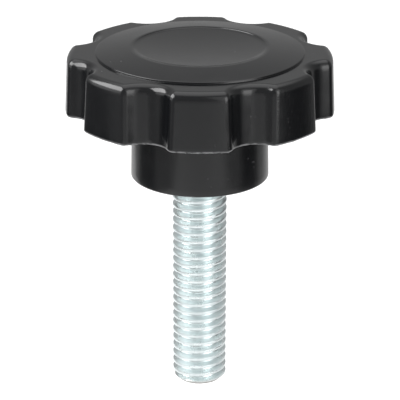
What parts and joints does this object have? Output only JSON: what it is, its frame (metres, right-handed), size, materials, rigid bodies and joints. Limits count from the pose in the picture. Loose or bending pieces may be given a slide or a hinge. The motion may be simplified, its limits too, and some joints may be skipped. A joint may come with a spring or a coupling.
{
  "type": "eight-arm clamping knob",
  "caption": "Round hand knob with arms and scallops round its rim, a hub below, and a fixed threaded stud for clamping by hand.",
  "frame": {"origin": "centre of the hub's seat face, on the stud's axis", "axes": "+Z along the stud's axis, from the seat face up through the head; one arm points along -Y"},
  "size_m": [0.0386, 0.0386, 0.0517],
  "materials": {
    "black_moulding": "glossy as moulded",
    "zinc_plated_steel": "bright zinc plate, clear with a bluish tint"
  },
  "bodies": {
    "root": {"knob_head": "black_moulding", "threaded_stud": "zinc_plated_steel"}
  },
  "joints": []
}
